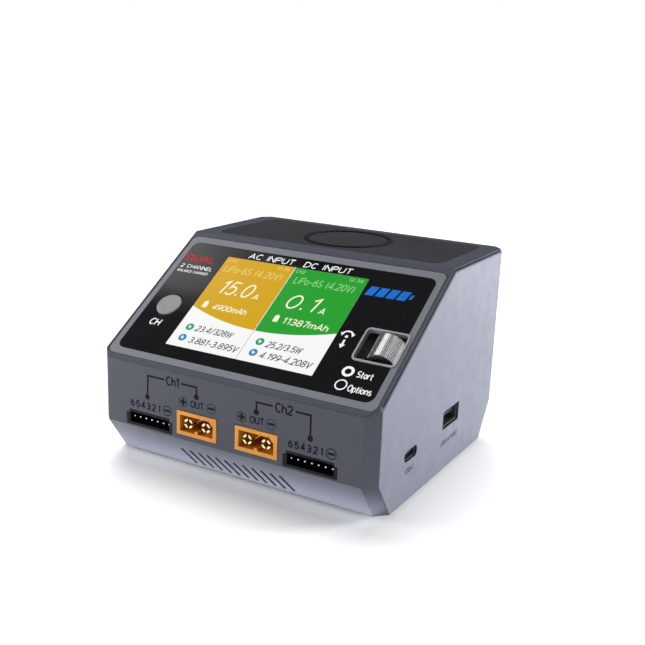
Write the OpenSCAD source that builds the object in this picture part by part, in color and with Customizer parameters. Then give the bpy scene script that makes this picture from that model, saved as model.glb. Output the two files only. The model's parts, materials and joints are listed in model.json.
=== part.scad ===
// Two-channel balance charger with a sloping display, a scroll wheel and a
// wireless charging top. Millimetres, +Z up, front face towards -Y.
// The origin is at the bottom centre of the whole charger.

/* [Case] */
// Width of the case
case_w = 108; // [104:1:112]
// Depth of the case
case_d = 103; // [101:1:108]
// Height of the case above its base plate, without the feet
case_h = 72; // [72:0.5:74]
// Height of the front edge, where the sloping face starts
front_h = 35.95; // [35:0.05:36.5]
// Angle of the sloping face from the horizontal
slope_angle = 33.5; // [33:0.1:34.5]
// Wall thickness of the case
wall = 2.2; // [2:0.1:2.4]
// Cut of the four upright corners
corner_cut = 4; // [3:0.5:4.5]
// How far the slanted lower face leans in
toe_in = 9; // [8:0.5:9.5]
// Height of the slanted lower face
toe_h = 13; // [12.5:0.1:13.2]
// Height of the rubber feet below the case
foot_h = 1.2; // [1:0.1:2]

/* [Display] */
// Width of the black front glass
glass_w = 99.7; // [98:0.1:100]
// Length of the front glass up the slope
glass_l = 54.3; // [53.5:0.1:54.5]
// Distance up the slope to the glass's lower edge
glass_s = 5.35; // [5:0.05:5.6]
// Width of the screen
screen_w = 58.2; // [57:0.1:59]
// Length of the screen up the slope
screen_l = 44.2; // [43:0.1:45]
// Distance of the screen's centre right of the case's centre
screen_x = -2.8; // [-3.5:0.1:-2]

/* [Controls] */
// Diameter of the channel button
button_d = 9.6; // [8:0.1:10]
// Press travel of the button and of the wheel
press_travel = 0.5; // [0.3:0.05:0.5]
// Radius of the scroll wheel
wheel_r = 5; // [4.6:0.1:5]
// Length of the scroll wheel
wheel_l = 9.2; // [8.6:0.1:10.5]
// Number of ridges round the scroll wheel
wheel_ridges = 48; // [24:2:60]

/* [Sockets] */
// Number of contacts in each balance socket
balance_ways = 7; // [5:1:7]
// Spacing of the balance contacts
balance_pitch = 2.5; // [2:0.1:2.5]
// Spacing of the two contacts in a power socket
power_pitch = 7.2; // [7:0.1:7.4]
// Distance of the output sockets from the case's centre
output_x = 11.8; // [11:0.1:12.4]
// Distance of the balance sockets from the case's centre
balance_x = 31.8; // [31.6:0.1:33]

/* [Cooling] */
// Number of slanted slots in the lower front face
vent_count = 12; // [6:1:14]
// Width and height of the square fan
fan_size = 50; // [50:0.5:51]
// Number of fan blades
fan_blades = 7; // [5:1:9]

/* [Hidden] */
$fn = 48;

// Small gaps and overlaps
eps = 0.01;
seam = 0.2;          // visible gap between a cover and the case
fit_gap = 0.05;      // radial play of a shaft or a screw
move_gap = 0.3;      // space round a moving part
opening_gap = 0.1;   // round a socket in its wall
far = 200;           // longer than the case in every direction

// Case planes
half_w = case_w / 2;
front_y = -case_d / 2;
rear_y = case_d / 2;
base_z = foot_h;
top_z = foot_h + case_h;
toe_z = base_z + toe_h;
edge_z = base_z + front_h;
slope_run = (case_h - front_h) / tan(slope_angle);
slope_l = slope_run / cos(slope_angle);
top_y = front_y + slope_run;
toe_angle = atan(toe_in / toe_h);
bevel_w = 0.8;
bevel_h = 1.25;

// Covers
cover_t = 2;
seat_margin = 2.4;   // from the slope's ends to the bezel's seam
side_margin = 1.7;   // from the case's side to the bezel's seam
bezel_t = 2;
glass_t = 0.9;
glass_r = 3;
seat_w = case_w - 2 * side_margin;
seat_l = slope_l - 2 * seat_margin;
rear_open_w = case_w - 2 * corner_cut - 4.8;
rear_open_z = [toe_z + 2.4, top_z - 2.4];
base_open_w = case_w - 2 * wall - 0.4;
base_open_d = case_d - 2 * toe_in - 5.8;
base_slot = [1.8, 26];
base_slot_pitch = 4;
base_slot_pairs = 7;  // slots on each side of the middle one
foot_r = 5;
foot_seat = 0.8;      // depth of a foot's recess in the bottom cover
foot_x = 36;
foot_y = 32;
seat_ledge = [0.8, 1.8];
bezel_r = 2.5;
pad_w = 92;
pad_d = 40;
pad_t = 1.2;
pad_r = 4;
pad_y = (top_y + rear_y) / 2;
ring_r = 16;
ring_w = 1.5;
ring_sunk = 0.5;
ring_proud = 0.4;

// Screw posts: base posts also carry the main board
base_post_x = 46;
base_post_y = 34;
post_r = 3;
post_root = 0.5;     // how far a post runs into the wall
rib_t = 2.4;
pilot_r = 1.25;
screw_r = pilot_r - fit_gap;
clear_r = pilot_r + 0.15;
head_r = 2.3;
head_h = 0.95;
head_sunk = 0.1;
head_seat_r = 2.5;
board_head_r = 2.2;
board_head_h = 1.2;
board_z = 13;        // underside of the main board
board_t = 1.6;
board_top = board_z + board_t;
rear_post_x = 44.4;
rear_post_z = [rear_open_z[0] + 3.6, rear_open_z[1] - 3.6];
rear_post_l = 9;
rear_in = rear_y - cover_t;
base_in = base_z + cover_t;

// Display, in the sloping face's own axes: x right, s up the slope, n outwards
screen_s = 32.8;
button_x = -41.4;
button_s = 27.6;
wheel_x = 44.6;
wheel_s = 27.1;
wheel_n = -3;
surround_box = [35.4, 20.0, 51.2, 34.2];
surround_wall = 0.75;
surround_proud = 0.35;
surround_depth = 3.6;
surround_r = 1.85;
surround_w = surround_box[2] - surround_box[0];
surround_l = surround_box[3] - surround_box[1];
surround_shelf = [2.3, 0.8];
lcd_t = 2.3;
lcd_low = 0.1;       // how far the screen lies below the glass
lcd_frame_size = [4, 5];   // larger than the screen by this much
lcd_frame_t = 4.6;
display_size = [99, 54.4];
display_n = -14;     // top of the display board
display_post = [47, 8.2, 57.4];
display_post_r = 2.4;
display_screw_l = 6;
buzzer_at = [-20, 20];
buzzer_r = 4.5;
buzzer_hole_r = 0.8;
buzzer_h = 4.2;
chip_at = [10, 40];
chip_size = [10, 10, 1.2];

// Button and wheel
cap_proud = 0.35;
cap_flange = 1.2;
cap_flange_n = -3.3;
cap_rim = 0.9;       // width of the raised rim
cap_dish = 0.12;
cap_edge = 0.3;
stem_r = 1.6;
stem_top = -7.6;
stem_in = 1.6;       // how far a stem reaches into its switch
switch_size = 6;
switch_well = 2.2;
ridge_h = 0.28;
axle_r = 1;
ear_t = 0.7;
ear_r = 1.9;
ear_gap = 0.2;
carrier_floor_n = -9.4;
carrier_floor_w = 9.6;
carrier_floor_t = 1;
channel_switch_n = stem_top - press_travel - 1.8;
wheel_switch_n = carrier_floor_n - press_travel - 0.5;
encoder_size = [7, 2.2, 5.4];

// Front sockets
balance_z = 17.55;
balance_w = 19.6;
balance_h = 5.2;
balance_step = 1.2;
balance_depth = 11;
balance_floor = 3;
balance_rim = [2.6, 1.6];   // both walls together, across and up
balance_drop = 0.1;         // the cavity lies this much below the middle
balance_sunk = 0.1;
pin_w = 0.64;
pin_tail = 1.5;
pin_end = 1.3;              // from the pin's tip to the mouth
power_z = 20.2;
power_w = 16.2;
power_h = 8.4;
power_depth = 17;
power_proud = 0.3;
power_cavity = 8.6;
cavity_half = [6.7, 2.8];
cavity_cut = 1.6;
cavity_key = [1.2, 1.6];
contact_r = 1.75;
contact_bore = 0.95;
contact_tail = 3;
contact_short = 0.6;
contact_split = [0.7, 6];

// Rear sockets
dc_x = -30;
dc_z = 26;
inlet_x = -30;
inlet_z = 50;
inlet_w = 23;
inlet_h = 13;
inlet_r = 1.5;
inlet_depth = 17;
inlet_cavity = 12;
inlet_lobe_r = 4.2;
inlet_waist = 6.2;
inlet_pitch = 8.6;
inlet_pin_r = 1.2;
inlet_pin_tail = 3;
inlet_pin_end = 3.5;

// Side ports
usb_a_y = 8;
usb_a_z = 20;
usb_a_size = [13.2, 5.9, 14];
usb_a_opening = [14, 6.7, 0.6];
usb_a_shell_t = 0.35;
usb_a_blade = [11.1, 1.9];
usb_a_blade_up = 1.1;
usb_c_y = -25;
usb_c_z = 17.2;
usb_c_size = [9, 3.3, 7.4];
usb_c_opening = [9.8, 3.8, 1.85];
usb_c_shell_t = 0.3;
usb_c_blade = [6.6, 0.75];
port_recess = 0.6;
port_back = 0.6;     // thickness of a port's rear wall

// Vent slots
vent_x = 0.5;
vent_pitch = 3.6;
vent_w = 1.25;
vent_l = 8.6;
vent_lean = 24;
vent_down = 10.2;    // from the top of the slanted face to the slots' middle

// Fan
fan_x = 15;
fan_z = 42;
fan_t = 14;
fan_y0 = rear_in - fan_t;
duct_r = fan_size / 2 - 1.4;
hub_r = 10.5;
hub_t = 1.2;
spoke_w = 2.8;
spoke_t = 1.6;
bush_r = 2.6;
bush_h = 7;
bush_floor = 0.8;
fan_end_gap = 1;     // between the rotor and the spokes
blade_t = 0.9;
blade_angle = 38;
blade_gap = 0.8;
fan_r = 3;
fan_screw_pitch = 40;
fan_screw_l = 9;
grille_first_r = 5.2;
grille_pitch = 4;
grille_slot = 2.6;
grille_last_r = 22;
grille_bar = 2.2;

// Main board
main_board_size = [101, 80.5];
main_board_y = -6.5;
sink_at = [-6, 0];
sink_size = [44, 30, 3.5];
sink_fins = 11;
fin_pitch = 4.25;
fin_size = [1.5, 26];
transistor_at = [-2, 4];
transistor_pitch = [11, 14];
transistor_size = [7, 8, 3.2];
inductor_x = [-34, -18, 18, 34];
inductor_y = -22;
inductor_size = [13, 13, 8];
capacitor_x = [-42, -26, -10, 10, 26, 42];
capacitor_y = -9;
capacitor_r = 4;
capacitor_h = 12;

// Supply board
supply_z = 34;
supply_box = [-48, 8, -14, 44];
supply_top = supply_z + board_t;
standoff_r = 2.2;
standoff_edge = 3;
standoff_y = 27;
transformer_at = [-46, 14];
transformer_size = [20, 16, 18];
supply_cap_at = [-20, 17];
supply_cap_r = 4.5;
supply_cap_h = 20;
choke_at = [-20, 38];
choke_r = 4.6;
choke_hole_r = 1.6;
choke_h = 7;

// Charging coil
coil_r = 20;
coil_hole_r = 10;
coil_t = 1.1;
shield_w = 43;
shield_t = 2;
coil_top = top_z - wall - fit_gap;

case_colour = [0.47, 0.48, 0.51];
black_plastic = [0.08, 0.08, 0.09];
amber = [0.93, 0.62, 0.16];
board_green = [0.1, 0.3, 0.2];
steel = [0.75, 0.76, 0.78];
gold = [0.85, 0.7, 0.35];

// ---------- outline helpers ----------

function unit(v) = v / norm(v);
function inward(a, b) = let (t = unit(b - a)) [-t[1], t[0]];
function shifted(p, i, d) = let (a = p[i], b = p[(i + 1) % len(p)], n = inward(a, b)) [a + d * n, b + d * n];
function cross2(u, v) = u[0] * v[1] - u[1] * v[0];
function meet(e, f) = let (r = e[1] - e[0], q = f[1] - f[0]) e[0] + r * cross2(f[0] - e[0], q) / cross2(r, q);

// An anticlockwise convex outline with every edge moved in by d
function inset(p, d) = [
    for (i = [0 : len(p) - 1]) meet(shifted(p, (i + len(p) - 1) % len(p), d), shifted(p, i, d))
];

function side_outline() = [
    [front_y + toe_in, base_z], [rear_y - toe_in, base_z], [rear_y, toe_z],
    [rear_y, top_z], [top_y, top_z], [front_y, edge_z], [front_y, toe_z]
];

function cut_box(w, d, c) = [
    [-w + c, -d], [w - c, -d], [w, -d + c], [w, d - c], [w - c, d], [-w + c, d], [-w, d - c], [-w, -d + c]
];

function toe_outline() = let (c = corner_cut * cos(toe_angle)) [
    [-half_w + corner_cut, 0], [half_w - corner_cut, 0], [half_w, c],
    [half_w, far], [-half_w, far], [-half_w, c]
];

function bevel_outline() = [
    [-half_w, -far], [half_w, -far], [half_w, -bevel_h], [half_w - bevel_w, 0],
    [-half_w + bevel_w, 0], [-half_w, -bevel_h]
];

module round_rect(w, l, r) {
    translate([-w / 2 + r, -l / 2]) square([w - 2 * r, l]);
    translate([-w / 2, -l / 2 + r]) square([w, l - 2 * r]);
    for (x = [-1, 1], y = [-1, 1]) translate([x * (w / 2 - r), y * (l / 2 - r)]) circle(r);
}

module plate(w, l, t, r) linear_extrude(t) round_rect(w, l, r);

module tube(outer, inner, h) difference() {
    cylinder(r = outer, h = h);
    translate([0, 0, -eps]) cylinder(r = inner, h = h + 2 * eps);
}

// Places its children in the sloping face's axes
module on_slope() translate([0, front_y, edge_z]) rotate([slope_angle, 0, 0]) children();

// Places its children on the front, rear or right side: x along, y up, z outwards
module on_front() translate([0, front_y, 0]) rotate([90, 0, 0]) children();
module on_rear() translate([0, rear_y, 0]) rotate([90, 0, 180]) children();
module on_side() translate([half_w, 0, 0]) rotate([90, 0, 90]) children();

// Places its children at the left and right, front and back of the middle
module four_ways(x, y, z) for (side = [-1, 1], end = [-1, 1]) translate([side * x, end * y, z]) children();

// A screw hole with a seat for the head, from z = 0 upwards
module head_hole(seat_h) translate([0, 0, -eps]) {
    cylinder(r = clear_r, h = 2 * cover_t);
    cylinder(r = head_seat_r, h = seat_h);
}

// ---------- case ----------

module toe_form(d) translate([0, front_y, toe_z]) rotate([toe_angle, 0, 0])
    linear_extrude(2 * far, center = true) polygon(inset(toe_outline(), d));

// The case as a solid, with every face moved in by d
module case_form(d) intersection() {
    rotate([90, 0, 90]) linear_extrude(case_w - 2 * d, center = true) polygon(inset(side_outline(), d));
    linear_extrude(far) polygon(inset(cut_box(half_w, case_d / 2, corner_cut), d));
    toe_form(d);
    mirror([0, 1, 0]) toe_form(d);
    on_slope() rotate([90, 0, 0]) linear_extrude(2 * far, center = true) polygon(inset(bevel_outline(), d));
    translate([0, 0, top_z]) rotate([90, 0, 0])
        linear_extrude(2 * far, center = true) polygon(inset(bevel_outline(), d));
}

module bezel_opening() on_slope() translate([0, slope_l / 2, 0]) {
    translate([0, 0, -bezel_t]) plate(seat_w, seat_l, far, bezel_r);
    translate([0, 0, -3 * wall])
        plate(seat_w - 2 * seat_ledge[0], seat_l - 2 * seat_ledge[1], far, bezel_r - 0.5);
}

module vent_slots() translate([0, front_y, toe_z]) rotate([90 + toe_angle, 0, 0])
    for (i = [0 : vent_count - 1])
        translate([vent_x + (i - (vent_count - 1) / 2) * vent_pitch, -vent_down, -2 * wall])
            rotate(vent_lean) linear_extrude(4 * wall) round_rect(vent_w, vent_l, vent_w / 2 - eps);

module balance_outline(grow) difference() {
    square([balance_w + 2 * grow, balance_h + 2 * grow], center = true);
    for (side = [-1, 1])
        translate([side * (balance_w / 2 + grow), balance_h / 2 + grow])
            square(2 * balance_step, center = true);
}

module power_outline(grow) square([power_w + 2 * grow, power_h + 2 * grow], center = true);

module front_openings() on_front() translate([0, 0, -2 * wall]) linear_extrude(4 * wall) {
    for (side = [-1, 1]) {
        translate([side * balance_x, balance_z]) balance_outline(opening_gap);
        translate([side * output_x, power_z]) power_outline(opening_gap);
    }
}

module side_openings() on_side() translate([0, 0, -2 * wall]) {
    translate([usb_a_y, usb_a_z]) plate(usb_a_opening[0], usb_a_opening[1], 4 * wall, usb_a_opening[2]);
    translate([usb_c_y, usb_c_z]) plate(usb_c_opening[0], usb_c_opening[1], 4 * wall, usb_c_opening[2]);
}

module base_post(side, end) difference() {
    intersection() {
        union() {
            translate([side * base_post_x, end * base_post_y, base_in])
                cylinder(r = post_r, h = board_z - base_in);
            translate([side * (base_post_x + half_w) / 2, end * base_post_y, (base_in + board_z) / 2])
                cube([half_w - base_post_x, rib_t, board_z - base_in], center = true);
        }
        case_form(wall - post_root);
    }
    translate([side * base_post_x, end * base_post_y, 0]) cylinder(r = pilot_r, h = far);
}

module rear_post(side, z) difference() {
    intersection() {
        union() {
            translate([side * rear_post_x, rear_in, z]) rotate([90, 0, 0])
                cylinder(r = post_r, h = rear_post_l);
            translate([side * (rear_post_x + half_w) / 2, rear_in - rear_post_l / 2, z])
                cube([half_w - rear_post_x, rear_post_l, rib_t], center = true);
        }
        case_form(wall - post_root);
    }
    translate([side * rear_post_x, 0, z]) rotate([-90, 0, 0]) cylinder(r = pilot_r, h = far);
}

module main_shell() color(case_colour) {
    difference() {
        case_form(0);
        case_form(wall);
        bezel_opening();
        vent_slots();
        front_openings();
        side_openings();
        translate([0, 0, base_z - eps]) linear_extrude(3 * wall)
            square([base_open_w, base_open_d], center = true);
        on_rear() translate([0, (rear_open_z[0] + rear_open_z[1]) / 2, -3 * wall])
            plate(rear_open_w, rear_open_z[1] - rear_open_z[0], 6 * wall, 2);
        translate([0, pad_y, top_z - pad_t]) plate(pad_w + 2 * seam, pad_d + 2 * seam, far, pad_r + seam);
    }
    for (side = [-1, 1]) {
        for (end = [-1, 1]) base_post(side, end);
        for (z = rear_post_z) rear_post(side, z);
    }
}

module bottom_cover() color(case_colour * 0.9) difference() {
    translate([0, 0, base_z]) linear_extrude(cover_t)
        square([base_open_w - 2 * seam, base_open_d - 2 * seam], center = true);
    four_ways(base_post_x, base_post_y, base_z) head_hole(head_h + head_sunk + 0.15);
    four_ways(foot_x, foot_y, base_z - eps) cylinder(r = foot_r + seam, h = foot_seat);
    for (i = [-base_slot_pairs : base_slot_pairs]) translate([i * base_slot_pitch, 0, base_z - eps])
        plate(base_slot[0], base_slot[1], far, base_slot[0] / 2 - eps);
}

// Ring-shaped air slots with four bars left across them
module fan_grille() difference() {
    for (r = [grille_first_r : grille_pitch : grille_last_r]) difference() {
        circle(r + grille_slot);
        circle(r);
    }
    for (a = [45, 135]) rotate(a) square([far, grille_bar], center = true);
}

module rear_panel() color(case_colour) difference() {
    on_rear() translate([0, (rear_open_z[0] + rear_open_z[1]) / 2, -cover_t])
        plate(rear_open_w - 2 * seam, rear_open_z[1] - rear_open_z[0] - 2 * seam, cover_t, 2 - seam);
    on_rear() translate([0, 0, -2 * cover_t]) linear_extrude(4 * cover_t) {
        translate([-fan_x, fan_z]) fan_grille();
        translate([-dc_x, dc_z]) power_outline(opening_gap);
        translate([-inlet_x, inlet_z]) inlet_outline(opening_gap);
    }
    for (side = [-1, 1], z = rear_post_z) translate([side * rear_post_x, rear_y, z])
        rotate([90, 0, 0]) head_hole(head_h + head_sunk + 0.05);
    translate([fan_x, rear_y, fan_z]) rotate([90, 0, 0])
        four_ways(fan_screw_pitch / 2, fan_screw_pitch / 2, 0) head_hole(head_h + head_sunk + 0.05);
}

module charging_pad() color([0.16, 0.16, 0.18]) difference() {
    translate([0, pad_y, top_z - pad_t]) plate(pad_w, pad_d, pad_t, pad_r);
    translate([0, pad_y, top_z - ring_sunk])
        tube(ring_r + ring_w / 2 + fit_gap, ring_r - ring_w / 2 - fit_gap, 2 * ring_sunk);
}

module pad_ring() color(black_plastic) translate([0, pad_y, top_z - ring_sunk])
    tube(ring_r + ring_w / 2, ring_r - ring_w / 2, ring_sunk + ring_proud);

// ---------- display ----------

module surround_shape(grow, r)
    translate([surround_box[0] + surround_w / 2, surround_box[1] + surround_l / 2])
        round_rect(surround_w + 2 * grow, surround_l + 2 * grow, r);

// Openings in the bezel and in the glass for the screen, the button and the wheel
module display_openings(screen_gap, r) {
    translate([screen_x, screen_s, -far / 2]) plate(screen_w + screen_gap, screen_l + screen_gap, far, r);
    translate([button_x, button_s, -far / 2]) cylinder(d = button_d + 2 * move_gap, h = far);
    translate([0, 0, -far / 2]) linear_extrude(far) surround_shape(fit_gap, surround_r + fit_gap);
}

module display_bezel() color(case_colour * 1.1) on_slope() {
    difference() {
        translate([0, slope_l / 2, -bezel_t])
            plate(seat_w - 2 * seam, seat_l - 2 * seam, bezel_t, bezel_r - seam);
        translate([0, glass_s + glass_l / 2, -glass_t])
            plate(glass_w + 2 * fit_gap, glass_l + 2 * fit_gap, far, glass_r);
        display_openings(0.3, 0.5);
    }
    for (side = [-1, 1], s = [display_post[1], display_post[2]])
        translate([side * display_post[0], s, display_n]) tube(display_post_r, pilot_r, -display_n - bezel_t);
}

module front_glass() color([0.02, 0.02, 0.025]) on_slope() difference() {
    translate([0, glass_s + glass_l / 2, -glass_t]) plate(glass_w, glass_l, glass_t, glass_r);
    display_openings(0.1, 0.4);
}

module wheel_surround() color([0.62, 0.62, 0.65]) on_slope() {
    translate([0, 0, -surround_depth]) linear_extrude(surround_depth + surround_proud) difference() {
        surround_shape(0, surround_r);
        surround_shape(-surround_wall, surround_r - 0.65);
    }
    translate([surround_box[0] + surround_wall - eps, surround_box[1] + surround_wall - eps, -surround_depth])
        cube([surround_shelf[0], surround_l - 2 * surround_wall + 2 * eps, surround_shelf[1]]);
}

module lcd_panel() color([0.9, 0.9, 0.92]) on_slope()
    translate([screen_x, screen_s, -lcd_low - lcd_t]) plate(screen_w, screen_l, lcd_t, 0.35);

module lcd_frame() color(steel) on_slope() difference() {
    translate([screen_x, screen_s, -lcd_frame_t])
        plate(screen_w + lcd_frame_size[0], screen_l + lcd_frame_size[1], lcd_frame_t - bezel_t - fit_gap, 1);
    translate([screen_x, screen_s, -lcd_low - lcd_t - fit_gap])
        plate(screen_w + 0.3, screen_l + 0.3, far, 0.4);
}

module display_board() color(board_green) on_slope() difference() {
    translate([0, screen_s, display_n - board_t]) plate(display_size[0], display_size[1], board_t, 1.5);
    for (side = [-1, 1], s = [display_post[1], display_post[2]])
        translate([side * display_post[0], s, -far / 2]) cylinder(r = clear_r, h = far);
}

module buzzer() color(black_plastic) on_slope() translate([buzzer_at[0], buzzer_at[1], display_n])
    tube(buzzer_r, buzzer_hole_r, buzzer_h);

module switch_body(x, s, top) on_slope() difference() {
    translate([x - switch_size / 2, s - switch_size / 2, display_n])
        cube([switch_size, switch_size, top - display_n]);
    translate([x, s, top - switch_well]) cylinder(r = stem_r + fit_gap, h = far);
}

module switch_stem(x, s, bottom, top) on_slope() translate([x, s, bottom])
    cylinder(r = stem_r, h = top - bottom);

module channel_button() color([0.55, 0.56, 0.57])
    on_slope() translate([button_x, button_s, 0]) rotate_extrude() polygon([
        [0, stem_top], [stem_r, stem_top], [stem_r, cap_flange_n],
        [button_d / 2 + cap_flange, cap_flange_n], [button_d / 2 + cap_flange, -bezel_t - move_gap],
        [button_d / 2, -bezel_t - move_gap], [button_d / 2, cap_proud - cap_edge],
        [button_d / 2 - cap_edge, cap_proud], [button_d / 2 - cap_rim, cap_proud],
        [button_d / 2 - cap_rim - 0.2, cap_proud - cap_dish], [0, cap_proud - 0.05]
    ]);

module channel_switch() color(black_plastic) switch_body(button_x, button_s, channel_switch_n);

module channel_switch_stem() color([0.3, 0.3, 0.32])
    switch_stem(button_x, button_s, channel_switch_n - stem_in, stem_top);

// ---------- scroll wheel ----------

function ridge_points(r, depth, count) = [
    for (i = [0 : 2 * count - 1]) let (a = i * 180 / count, q = r - (i % 2) * depth) [q * cos(a), q * sin(a)]
];

// Places its children on the wheel's axis: z runs up the slope
module on_wheel_axis() on_slope() translate([wheel_x, wheel_s, wheel_n]) rotate([-90, 0, 0]) children();

module scroll_wheel() color(steel) on_wheel_axis() difference() {
    translate([0, 0, -wheel_l / 2]) linear_extrude(wheel_l)
        polygon(ridge_points(wheel_r, ridge_h, wheel_ridges));
    translate([0, 0, -far / 2]) cylinder(r = axle_r, h = far);
}

module wheel_axle() color(steel * 0.8) on_wheel_axis()
    cylinder(r = axle_r, h = wheel_l + 2 * (ear_t + ear_gap), center = true);

module wheel_carrier() color(black_plastic) on_slope() translate([wheel_x, wheel_s, 0]) {
    for (end = [-1, 1]) translate([0, end * (wheel_l / 2 + ear_gap + ear_t / 2), 0]) difference() {
        union() {
            translate([0, ear_t / 2, wheel_n]) rotate([90, 0, 0]) cylinder(r = ear_r, h = ear_t);
            translate([-ear_r, -ear_t / 2, carrier_floor_n])
                cube([2 * ear_r, ear_t, wheel_n - carrier_floor_n]);
        }
        translate([0, far / 2, wheel_n]) rotate([90, 0, 0]) cylinder(r = axle_r + fit_gap, h = far);
    }
    translate([-carrier_floor_w / 2, -wheel_l / 2 - ear_gap - ear_t, carrier_floor_n])
        cube([carrier_floor_w, wheel_l + 2 * ear_gap + 2 * ear_t, carrier_floor_t]);
}

module wheel_encoder() color([0.15, 0.25, 0.2]) on_slope()
    translate([wheel_x - encoder_size[0] / 2, wheel_s + wheel_l / 2 + ear_gap + ear_t, carrier_floor_n])
        cube(encoder_size);

module wheel_switch() color(black_plastic) switch_body(wheel_x, wheel_s, wheel_switch_n);

module wheel_switch_stem() color([0.3, 0.3, 0.32])
    switch_stem(wheel_x, wheel_s, wheel_switch_n - stem_in, carrier_floor_n);

// ---------- front sockets ----------

// Distance of contact number i from the middle of its socket
function pin_x(i) = (i - (balance_ways - 1) / 2) * balance_pitch;

module balance_socket(x) color(black_plastic)
    on_front() translate([x, balance_z, -balance_depth]) difference() {
        linear_extrude(balance_depth - balance_sunk) balance_outline(0);
        translate([0, -balance_drop, balance_floor]) linear_extrude(balance_depth)
            square([balance_w - balance_rim[0], balance_h - balance_rim[1]], center = true);
        for (i = [0 : balance_ways - 1]) translate([pin_x(i), -balance_drop, -eps])
            linear_extrude(far) square(pin_w + 2 * eps, center = true);
    }

module channel_1_balance_socket() balance_socket(-balance_x);
module channel_2_balance_socket() balance_socket(balance_x);

module balance_pins() color(steel) on_front()
    for (side = [-1, 1], i = [0 : balance_ways - 1])
        translate([side * balance_x + pin_x(i), balance_z - balance_drop, -balance_depth - pin_tail])
            linear_extrude(balance_depth + pin_tail - pin_end) square(pin_w, center = true);

// A power socket's housing: z outwards, mouth at z = 0
module power_socket() difference() {
    translate([0, 0, -power_depth]) linear_extrude(power_depth) power_outline(0);
    translate([0, 0, -power_cavity]) linear_extrude(far) difference() {
        polygon([
            [-cavity_half[0], -cavity_half[1]], [cavity_half[0], -cavity_half[1]],
            [cavity_half[0], cavity_half[1] - cavity_cut], [cavity_half[0] - cavity_cut, cavity_half[1]],
            [-cavity_half[0], cavity_half[1]]
        ]);
        translate([0, -cavity_half[1]]) square(cavity_key, center = true);
    }
    for (side = [-1, 1]) translate([side * power_pitch / 2, 0, -far / 2]) cylinder(r = contact_r, h = far);
}

// Two round contacts, each split into four at its tip
module power_contacts() for (side = [-1, 1]) translate([side * power_pitch / 2, 0, 0]) difference() {
    translate([0, 0, -power_depth - contact_tail])
        cylinder(r = contact_r, h = power_depth + contact_tail - contact_short);
    translate([0, 0, -contact_split[1]]) cylinder(r = contact_bore, h = far);
    for (a = [0, 90]) rotate(a) translate([0, 0, -contact_split[1] / 2])
        cube([contact_split[0], 4 * contact_r, contact_split[1]], center = true);
}

module output_socket(x) color(amber) on_front() translate([x, power_z, power_proud]) power_socket();
module channel_1_output_socket() output_socket(-output_x);
module channel_2_output_socket() output_socket(output_x);

module output_contacts() color(gold) on_front()
    for (side = [-1, 1]) translate([side * output_x, power_z, power_proud]) power_contacts();

// ---------- rear sockets ----------

module dc_input_socket() color(amber) on_rear() translate([-dc_x, dc_z, power_proud]) power_socket();
module dc_input_contacts() color(gold) on_rear() translate([-dc_x, dc_z, power_proud]) power_contacts();

module inlet_outline(grow) round_rect(inlet_w + 2 * grow, inlet_h + 2 * grow, inlet_r + grow);

module mains_inlet() color(black_plastic) on_rear() translate([-inlet_x, inlet_z, 0]) difference() {
    translate([0, 0, -inlet_depth]) linear_extrude(inlet_depth) inlet_outline(0);
    translate([0, 0, -inlet_cavity]) linear_extrude(far) {
        for (side = [-1, 1]) translate([side * inlet_pitch / 2, 0]) circle(inlet_lobe_r);
        square([inlet_pitch, inlet_waist], center = true);
    }
    for (side = [-1, 1]) translate([side * inlet_pitch / 2, 0, -far / 2]) cylinder(r = inlet_pin_r, h = far);
}

module mains_inlet_pins() color(steel) on_rear()
    for (side = [-1, 1])
        translate([-inlet_x + side * inlet_pitch / 2, inlet_z, -inlet_depth - inlet_pin_tail])
            cylinder(r = inlet_pin_r, h = inlet_depth + inlet_pin_tail - inlet_pin_end);

// ---------- side ports ----------

module port_shell(size, r, t, y, z) on_side() translate([y, z, -size[2] - port_recess]) difference() {
    plate(size[0], size[1], size[2], r);
    translate([0, 0, port_back]) plate(size[0] - 2 * t, size[1] - 2 * t, size[2], r - t + eps);
}

// The contact blade of a port, standing on the port's rear wall
module port_blade(size, blade, short, y, z) on_side() translate([y, z, -size[2] - port_recess + port_back])
    linear_extrude(size[2] - short) square(blade, center = true);

module usb_a_shell() color(steel) port_shell(usb_a_size, 0.5, usb_a_shell_t, usb_a_y, usb_a_z);
module usb_a_tongue() color(black_plastic)
    port_blade(usb_a_size, usb_a_blade, 1.6, usb_a_y, usb_a_z + usb_a_blade_up);

module usb_c_shell() color(steel) port_shell(usb_c_size, 1.6, usb_c_shell_t, usb_c_y, usb_c_z);
module usb_c_tongue() color(black_plastic) port_blade(usb_c_size, usb_c_blade, 1.4, usb_c_y, usb_c_z);

// ---------- boards ----------

module main_board() color(board_green) difference() {
    translate([0, main_board_y, board_z]) plate(main_board_size[0], main_board_size[1], board_t, 1);
    four_ways(base_post_x, base_post_y, 0) cylinder(r = clear_r, h = far);
}

// Stands on the power transistors
module heat_sink() color([0.7, 0.72, 0.74])
    translate([sink_at[0], sink_at[1], board_top + transistor_size[2]]) {
        cube(sink_size);
        for (i = [0 : sink_fins - 1]) translate([i * fin_pitch, 0, 0])
            cube([fin_size[0], sink_size[1], fin_size[1]]);
    }

module power_transistors() color(black_plastic)
    translate([transistor_at[0], transistor_at[1], board_top])
        for (i = [0 : 3], j = [0, 1]) translate([i * transistor_pitch[0], j * transistor_pitch[1], 0])
            cube(transistor_size);

module power_inductors() color([0.3, 0.3, 0.31])
    for (x = inductor_x) translate([x, inductor_y, board_top + inductor_size[2] / 2])
        cube(inductor_size, center = true);

module output_capacitors() color([0.2, 0.2, 0.25])
    for (x = capacitor_x) translate([x, capacitor_y, board_top]) cylinder(r = capacitor_r, h = capacitor_h);

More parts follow.
